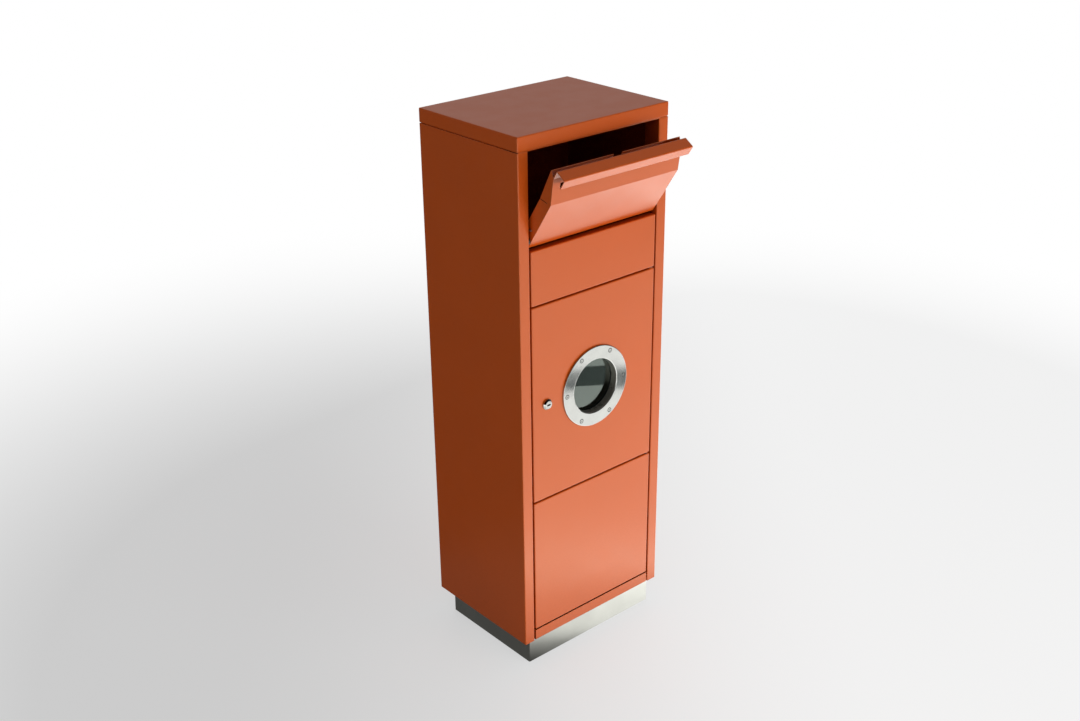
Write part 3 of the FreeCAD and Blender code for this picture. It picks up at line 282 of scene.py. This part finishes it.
def brushed_stainless():
    """Stainless sheet brushed along its length."""
    steel = Shader("brushed_stainless")
    normal = steel.rounded(radius=0.0006)
    stretched = steel.vector_math("MULTIPLY", steel.place, (14.0, 14.0, 1700.0))["Vector"]
    streaks = steel.noise(scale=1.0, detail=4.0, place=stretched)
    blotch = steel.cloud(scale=9.0, detail=3.0)
    tone = steel.mix(blotch, shade(STAINLESS, 0.92), shade(STAINLESS, 1.05))
    steel.set(Base_Color=steel.mix(steel.nearness(normal), tone, shade(STAINLESS, 1.15)))
    steel.set(Metallic=1.0, Roughness=steel.spread(streaks, 0.30, 0.46), Anisotropic=0.55)
    steel.bump(streaks, strength=0.12, distance=0.0002, normal=normal)
    return steel.material


def in_keyway(steel, across, upward):
    """Full within the keyway, none beside it."""
    along = steel.math("LESS_THAN", steel.math("ABSOLUTE", across), KEYWAY_LENGTH / 2)
    beside = steel.math("LESS_THAN", steel.math("ABSOLUTE", upward), KEYWAY_WIDTH / 2)
    return steel.product(along, beside)


def round_bores(steel, across, upward, radius):
    """Full on a narrow rim round every bore of the circle, none elsewhere. The rim takes painted shade.
    """
    turn = steel.product(steel.math("ARCTAN2", upward, across), BORE_COUNT / math.tau)
    turn = steel.math("SUBTRACT", turn, steel.math("ROUND", turn))
    turn = steel.product(turn, math.tau / BORE_COUNT)
    outward = steel.math("SUBTRACT", steel.product(radius, steel.math("COSINE", turn)), BORE_CIRCLE)
    sideward = steel.product(radius, steel.math("SINE", turn))
    away = steel.math("SUBTRACT", steel.distance(outward, sideward), BORE_RADIUS)
    return steel.math("LESS_THAN", steel.math("ABSOLUTE", away), BORE_SHADE_WIDTH / 2)


def turned_steel(name, node, keyway=False, porthole=False):
    """Polished steel with the fine rings of a lathe round the axis of a node.

    The keyway is painted black as painted shade. Round a porthole it gets painted shade in a narrow rim
    round each bore, and it is dull in the throat.
    """
    steel = Shader(name)
    normal = steel.rounded(radius=0.0005)
    centre_x, centre_z = axis_of(node)
    parts = steel.split(steel.place)
    across = steel.math("SUBTRACT", parts["X"], centre_x)
    upward = steel.math("SUBTRACT", parts["Z"], centre_z)
    radius = steel.distance(across, upward)
    rings = steel.nodes.new("ShaderNodeTexNoise")
    rings.noise_dimensions = "1D"
    steel.feed(rings.inputs["Scale"], 2600.0)
    steel.feed(rings.inputs["W"], radius)
    smear = steel.cloud(scale=30.0, detail=4.0)
    tone = steel.mix(smear, shade(POLISHED, 0.95), POLISHED)
    polish = steel.spread(steel.noise(scale=45.0, detail=4.0), 0.07, 0.10)
    metallic = 1.0
    if keyway:
        # Painted shade: the keyway is painted black
        tone = steel.mix(in_keyway(steel, across, upward), tone, RUBBER_AND_KEYWAY_SHADE)
    if porthole:
        # Painted shade: a dark rim round each screw bore
        painted_bore_shade = round_bores(steel, across, upward, radius)
        tone = steel.mix(painted_bore_shade, tone, shade(POLISHED, 0.15))
        start, end = (THROAT_RADIUS + step for step in THROAT_EDGE)
        dull = steel.spread(radius, 1.0, 0.0, start, end)
        tone = steel.mix(dull, tone, DULLED)
        polish = steel.math("ADD", polish, steel.product(dull, 0.2))
        metallic = steel.spread(dull, 1.0, 0.4, start=0.0, end=1.0)
    steel.set(Base_Color=tone, Metallic=metallic, Roughness=polish)
    steel.bump(rings.outputs["Fac"], strength=0.03, distance=0.0001, normal=normal)
    return steel.material


def zinc_plate():
    """Cloudy zinc on screws, nuts and bushes."""
    zinc = Shader("zinc_plate")
    normal = zinc.rounded(radius=0.0003)
    cloud = zinc.cloud(scale=160.0, detail=4.0)
    zinc.set(Base_Color=zinc.mix(cloud, shade(ZINC, 0.88), shade(ZINC, 1.08)))
    zinc.set(Metallic=1.0, Roughness=zinc.spread(zinc.noise(scale=220.0, detail=3.0), 0.26, 0.42))
    zinc.bump(zinc.noise(scale=1400.0, detail=2.0), strength=0.05, distance=0.0001, normal=normal)
    return zinc.material


def dusty_rubber(name, colour, dusty):
    """Matt rubber with dust in its grain."""
    rubber = Shader(name)
    dust = rubber.spread(rubber.noise(scale=110.0, detail=4.0), 0.0, 0.5)
    rubber.set(Base_Color=rubber.mix(dust, colour, dusty))
    rubber.set(Roughness=rubber.spread(rubber.noise(scale=300.0, detail=3.0), 0.62, 0.80))
    rubber.bump(rubber.noise(scale=2200.0, detail=2.0), strength=0.15, distance=0.0001)
    return rubber.material


def clear_glass():
    """A pane with a faint film of dust that scatters a little light."""
    glass = Shader("clear_glass")
    film = glass.spread(glass.noise(scale=55.0, detail=4.0), 0.01, 0.03)
    glass.set(Base_Color=GLASS_TINT, Specular_Tint=GLASS_SHEEN)
    glass.set(Transmission_Weight=1.0, IOR=2.05, Roughness=film)
    glass.bump(glass.noise(scale=18.0, detail=1.0), strength=0.02, distance=0.0005)
    return glass.material


def moulded_plastic(name, dark, pale, roughness, grain):
    """Plastic with a faint cloud and the grain of its mould."""
    plastic = Shader(name)
    plastic.set(Base_Color=plastic.mix(plastic.cloud(scale=200.0, detail=3.0), dark, pale))
    plastic.set(Roughness=plastic.spread(plastic.noise(scale=500.0, detail=2.0), *roughness))
    plastic.bump(plastic.noise(scale=1800.0, detail=2.0), strength=grain, distance=0.0001)
    return plastic.material


def nylon():
    return moulded_plastic("nylon", shade(NYLON, 0.94), NYLON, roughness=(0.42, 0.55), grain=0.06)


def dark_plastic():
    dark, pale = shade(DARK_PLASTIC, 0.85), shade(DARK_PLASTIC, 1.2)
    return moulded_plastic("dark_plastic", dark, pale, roughness=(0.45, 0.6), grain=0.08)


def axis_of(node):
    """X and Z of the axis of a round node that points along Y."""
    low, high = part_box(node)
    return (low.x + high.x) / 2, (low.z + high.z) / 2


def dress_nodes():
    """Every node gets the finish of its slot, or one of its own."""
    finishes = {
        "paint": powder_coat(),
        "stainless": brushed_stainless(),
        "zinc": zinc_plate(),
        "rubber": dusty_rubber("black_rubber", RUBBER_AND_KEYWAY_SHADE, shade(RUBBER_AND_KEYWAY_SHADE, 2.2)),
        "glass": clear_glass(),
        "nylon": nylon(),
        "dark_plastic": dark_plastic(),
    }
    ring = turned_steel("turned_ring", "porthole_ring", porthole=True)
    pale_rubber = dusty_rubber("pale_rubber", RUBBER_PALE, shade(RUBBER_PALE, 0.8))
    own = {
        "porthole_ring": ring,
        "porthole_screws": ring,
        "lock_barrel": turned_steel("turned_lock", "lock_barrel"),
        "lock_plug": turned_steel("turned_core", "lock_plug", keyway=True),
        "flap_stop_left": pale_rubber,
        "flap_stop_right": pale_rubber,
    }
    for name, item in NODES.items():
        item.data.materials.clear()
        item.data.materials.append(own.get(name) or finishes[SLOT_OF[name]])


def sheet(name, corners, material):
    """A flat sheet with four corners."""
    mesh = bpy.data.meshes.new(name)
    mesh.from_pydata(corners, [], [(0, 1, 2, 3)])
    mesh.materials.append(material)
    item = bpy.data.objects.new(name, mesh)
    bpy.context.scene.collection.objects.link(item)
    return item


def toward(shader, x, y, direction):
    """How far a place on the floor lies in a direction."""
    return shader.math("ADD", shader.product(x, direction[0]), shader.product(y, direction[1]))


def mirror_light(pale, x, y):
    """How bright mirrors show a place on the floor: ahead of the cabinet, and at its left. This is
    painted light and shade that only mirrors see.
    """
    ahead = pale.profile(toward(pale, x, y, AHEAD), FLOOR_LIGHT)
    rise = pale.spread(pale.math("ADD", x, y), 1.0, 1.5, start=0.0, end=0.9)
    left_of = pale.spread(x, 1.0, 0.0, start=-1.2, end=-0.4)
    before = pale.spread(y, 0.8, 0.0, start=-0.9, end=-0.3)
    return pale.math("MAXIMUM", pale.product(ahead, rise), pale.product(left_of, before))


def pale_floor():
    """A matt floor that keeps shadows and fades to white far away."""
    pale = Shader("pale_floor")
    cloud = pale.cloud(scale=1.4, detail=3.0)
    pale.set(Base_Color=pale.mix(cloud, shade(FLOOR, 0.985), FLOOR))
    pale.set(Roughness=0.75, Specular_IOR_Level=0.2)
    parts = pale.split(pale.place)
    x, y = parts["X"], parts["Y"]
    rays = pale.rays()
    mirror = rays["Is Glossy Ray"]
    # Painted light: the floor seen directly glows paler towards the right and front than on the left
    side = pale.spread(toward(pale, x, y, RIGHTWARD), 0.40, 0.80, start=-0.8, end=0.8, smooth=True)
    far = pale.spread(pale.distance(x, y), 0.2, 1.0, start=0.3, end=3.0, smooth=True)
    seen = pale.math("MAXIMUM", rays["Is Camera Ray"], rays["Is Transmission Ray"])
    share = pale.product(pale.math("MAXIMUM", side, far), seen)
    plain = pale.math("SUBTRACT", 1.0, mirror)
    mirrored = pale.product(mirror_light(pale, x, y), mirror)
    glow = pale.add("ShaderNodeEmission", Color=WHITE, Strength=pale.math("ADD", plain, mirrored))
    glowing = pale.math("MAXIMUM", share, mirror)
    look = pale.either(glowing, pale.surface.outputs["BSDF"], glow.outputs["Emission"])
    pale.feed(pale.nodes["Material Output"].inputs["Surface"], look)
    return pale.material


def floor():
    """A wide floor under the part."""
    half = 14.0
    corners = [(-half, -half, 0.0), (half, -half, 0.0), (half, half, 0.0), (-half, half, 0.0)]
    item = sheet("floor", corners, pale_floor())


def world():
    """A soft room: dim ceiling, dim on the left, pale towards the right and the back."""
    room = bpy.data.worlds.new("room")
    tree = Tree(room)
    x, y, z = tree.split(tree.nodes.new("ShaderNodeTexCoord").outputs["Generated"])
    rays = tree.rays()

    light = tree.nodes["Background"]
    sideways = tree.spread(x, 0.43, 0.44, start=-0.9, end=0.8, smooth=True)
    upwards = tree.spread(z, 1.0, 0.85, start=0.15, end=0.95, smooth=True)
    tree.feed(light.inputs["Color"], ROOM_TINT)
    tree.feed(light.inputs["Strength"], tree.product(sideways, upwards))

    rightward = tree.spread(x, 0.0, 0.43, start=-0.4, end=0.6, smooth=True)
    backward = tree.spread(y, 0.06, 1.0, start=-0.4, end=0.4, smooth=True)
    upwards = tree.spread(z, 1.0, 0.35, start=0.45, end=0.95, smooth=True)
    bright = tree.product(tree.product(rightward, backward), upwards)
    mirrored = tree.add("ShaderNodeBackground", Color=WHITE, Strength=bright)

    backdrop = tree.add("ShaderNodeBackground", Color=WHITE)
    white = backdrop.outputs["Background"]
    seen = tree.either(rays["Is Glossy Ray"], light.outputs["Background"], mirrored.outputs["Background"])
    seen = tree.either(rays["Is Transmission Ray"], seen, white)
    seen = tree.either(rays["Is Camera Ray"], seen, white)
    tree.feed(tree.nodes["World Output"].inputs["Surface"], seen)
    bpy.context.scene.world = room


def area_light(name, place, target, size, power, colour):
    """A soft lamp that lights the part and is not seen itself."""
    lamp = bpy.data.lights.new(name, "AREA")
    lamp.shape = "RECTANGLE"
    lamp.size, lamp.size_y = size
    lamp.energy = power
    lamp.color = colour
    item = bpy.data.objects.new(name, lamp)
    item.location = place
    item.rotation_euler = (Vector(target) - Vector(place)).to_track_quat("-Z", "Y").to_euler()
    item.visible_camera = False
    item.visible_glossy = False
    bpy.context.scene.collection.objects.link(item)


def lights():
    """A low key in front, light from the floor and a fill from behind."""
    area_light(
        "key",
        place=(0.65, -2.7, 0.40),
        target=(0.0, 0.0, 0.45),
        size=(2.5, 0.75),
        power=40.0,
        colour=KEY_TINT,
    )
    area_light(
        "floor_bounce",
        place=(0.85, -1.45, 0.012),
        target=(0.85, -1.45, 1.0),
        size=(2.7, 2.4),
        power=5.5,
        colour=BOUNCE_TINT,
    )
    area_light(
        "back_fill",
        place=(2.2, 2.6, 0.60),
        target=(0.0, 0.0, 0.60),
        size=(2.0, 1.1),
        power=26.0,
        colour=WHITE,
    )


def dark_strip():
    """A dim strip that only mirrors show: a painted shadow across the floor, which gives ring and glass
    their dark bands.
    """
    along = Vector((0.83, 0.56, 0.0))
    across = Vector((*AHEAD, 0.0))
    centre_x, centre_y = 0.95, -1.14
    near, far = 1.375, 1.52
    half = 1.2
    height = 0.02
    middle = along * (centre_x * along.x + centre_y * along.y)
    steps = ((-half, near), (half, near), (half, far), (-half, far))
    places = [middle + along * sideward + across * outward for sideward, outward in steps]
    dim = bpy.data.materials.new("dark_strip")
    tree = Tree(dim)
    glow = tree.add("ShaderNodeEmission", Color=STRIP_TINT, Strength=0.18)
    tree.feed(tree.nodes["Material Output"].inputs["Surface"], glow.outputs["Emission"])
    item = sheet("dark_strip", [(place.x, place.y, height) for place in places], dim)
    item.visible_camera = False
    item.visible_diffuse = False
    item.visible_shadow = False
    item.visible_transmission = False


def camera():
    """The view that the cabinet's edges give."""
    place = Vector((-1.8189, -2.0896, 1.9202))
    yaw, pitch, roll = math.radians(40.74), math.radians(24.70), math.radians(0.625)
    ahead = Vector((math.sin(yaw) * math.cos(pitch), math.cos(yaw) * math.cos(pitch), -math.sin(pitch)))
    level = Vector((math.cos(yaw), -math.sin(yaw), 0.0))
    down = ahead.cross(level)
    right = math.cos(roll) * level + math.sin(roll) * down
    up = math.sin(roll) * level - math.cos(roll) * down
    turn = Matrix((right, up, -ahead)).transposed()
    lens = bpy.data.cameras.new("camera")
    lens.sensor_fit = "HORIZONTAL"
    lens.sensor_width = 36.0
    lens.lens = 45.57
    item = bpy.data.objects.new("camera", lens)
    item.matrix_world = Matrix.Translation(place) @ turn.to_4x4()
    bpy.context.scene.collection.objects.link(item)
    bpy.context.scene.camera = item


dress_nodes()
floor()
world()
lights()
dark_strip()
camera()
bpy.context.scene.view_settings.view_transform = "Standard"
